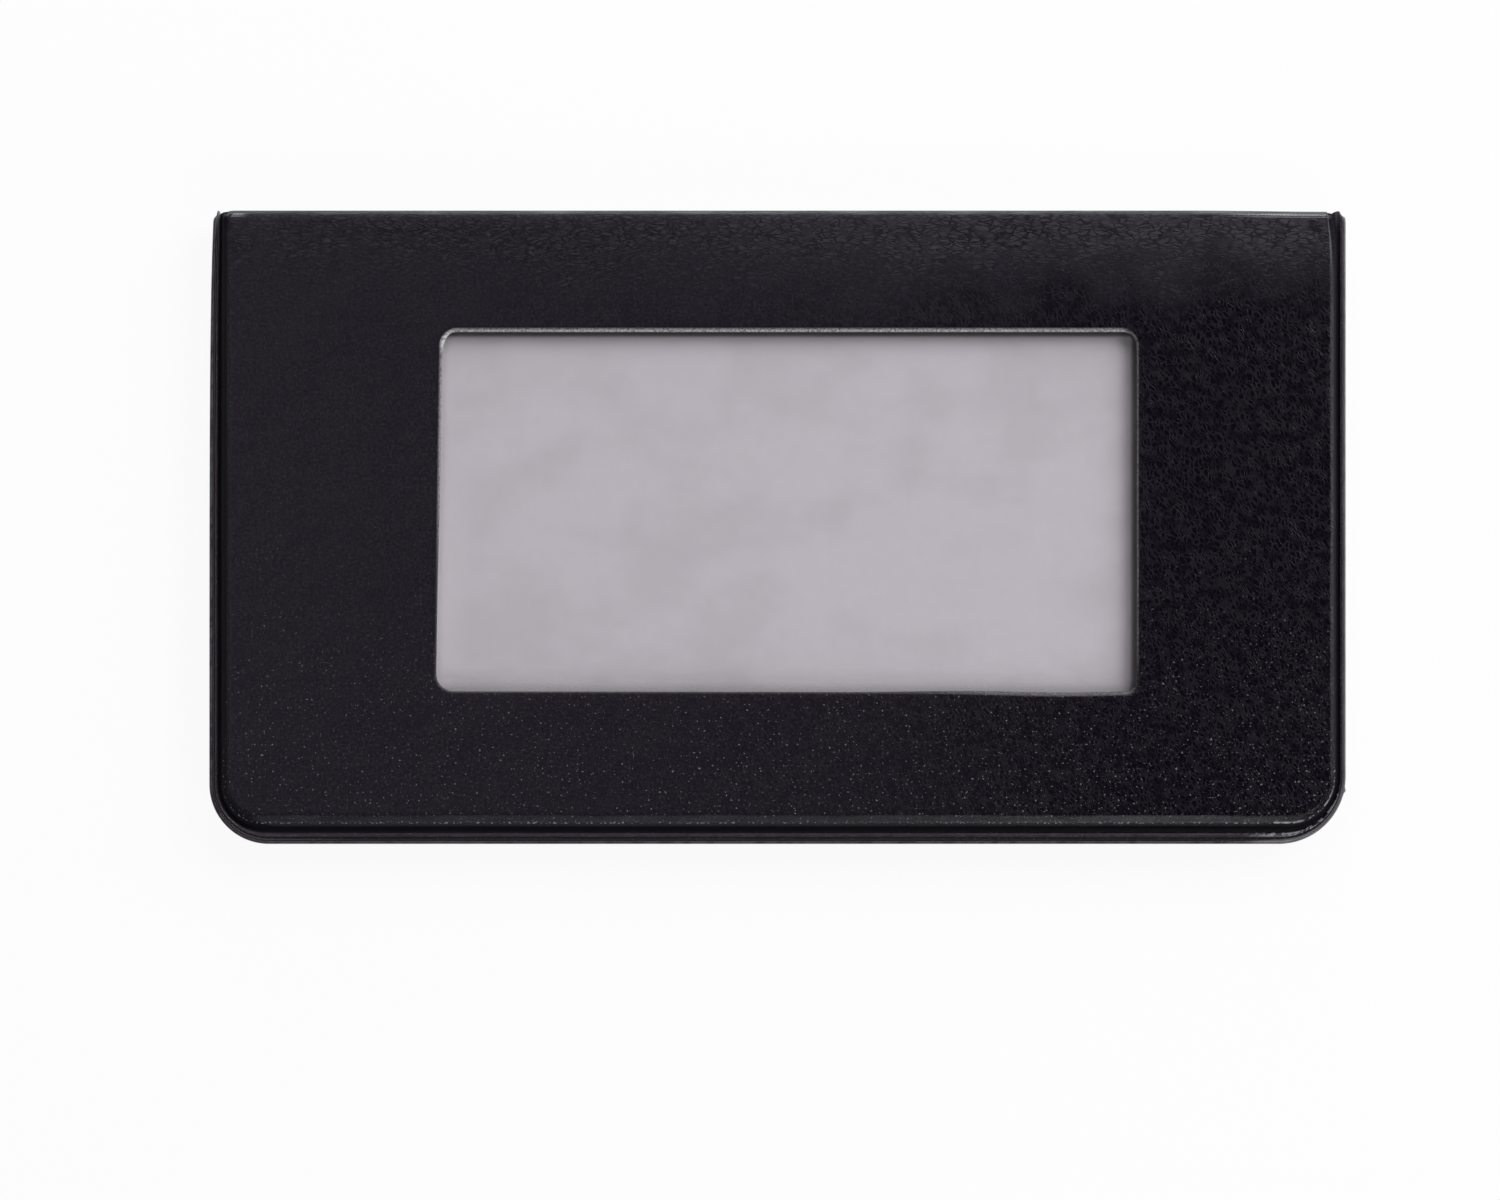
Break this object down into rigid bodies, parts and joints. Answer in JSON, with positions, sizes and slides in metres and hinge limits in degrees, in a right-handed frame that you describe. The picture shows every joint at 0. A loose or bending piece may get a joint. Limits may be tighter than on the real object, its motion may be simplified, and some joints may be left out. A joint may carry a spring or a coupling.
{
  "type": "business card holder",
  "caption": "Slim folding business card holder in black grained vinyl, with a window in the front cover and card pockets inside.",
  "frame": {"origin": "middle of the closed holder's underside, the outer face of the back cover", "axes": "+X to the right as the window is seen, along the holder's width and the way the card slides out; +Y towards the fold; +Z out of the front cover"},
  "size_m": [0.1048, 0.0584, 0.0046],
  "materials": {
    "grained_vinyl": "black leather-grained soft vinyl, semi-gloss",
    "lining_vinyl": "thin smooth black vinyl sheet",
    "clear_vinyl": "clear glossy soft vinyl sheet",
    "greyboard": "matt greyboard stiffener",
    "card_stock": "plain matt pale grey card"
  },
  "bodies": {
    "back_cover": {"back_skin": "grained_vinyl", "back_board": "greyboard", "back_lining": "lining_vinyl", "clear_pocket": "clear_vinyl"},
    "spine": {"spine_skin": "grained_vinyl", "spine_lining": "lining_vinyl"},
    "front_cover": {"front_skin": "grained_vinyl", "front_board": "greyboard", "window_film": "clear_vinyl", "front_lining": "lining_vinyl"},
    "card": {"display_card": "card_stock"}
  },
  "joints": [
    {"name": "back_fold", "type": "hinge", "parent": "back_cover", "child": "spine", "pos_m": [0, 0.02917, 0], "axis": [-1, 0, 0], "range_deg": [0, 90]},
    {"name": "front_fold", "type": "hinge", "parent": "spine", "child": "front_cover", "pos_m": [0, 0.02917, 0.0046], "axis": [-1, 0, 0], "range_deg": [0, 90]},
    {"name": "card_slide", "type": "slide", "parent": "front_cover", "child": "card", "axis": [1, 0, 0], "range_m": [0, 0.09]}
  ],
  "couplings": [
    {"joint": "front_fold", "follows": "back_fold", "ratio": 1}
  ]
}
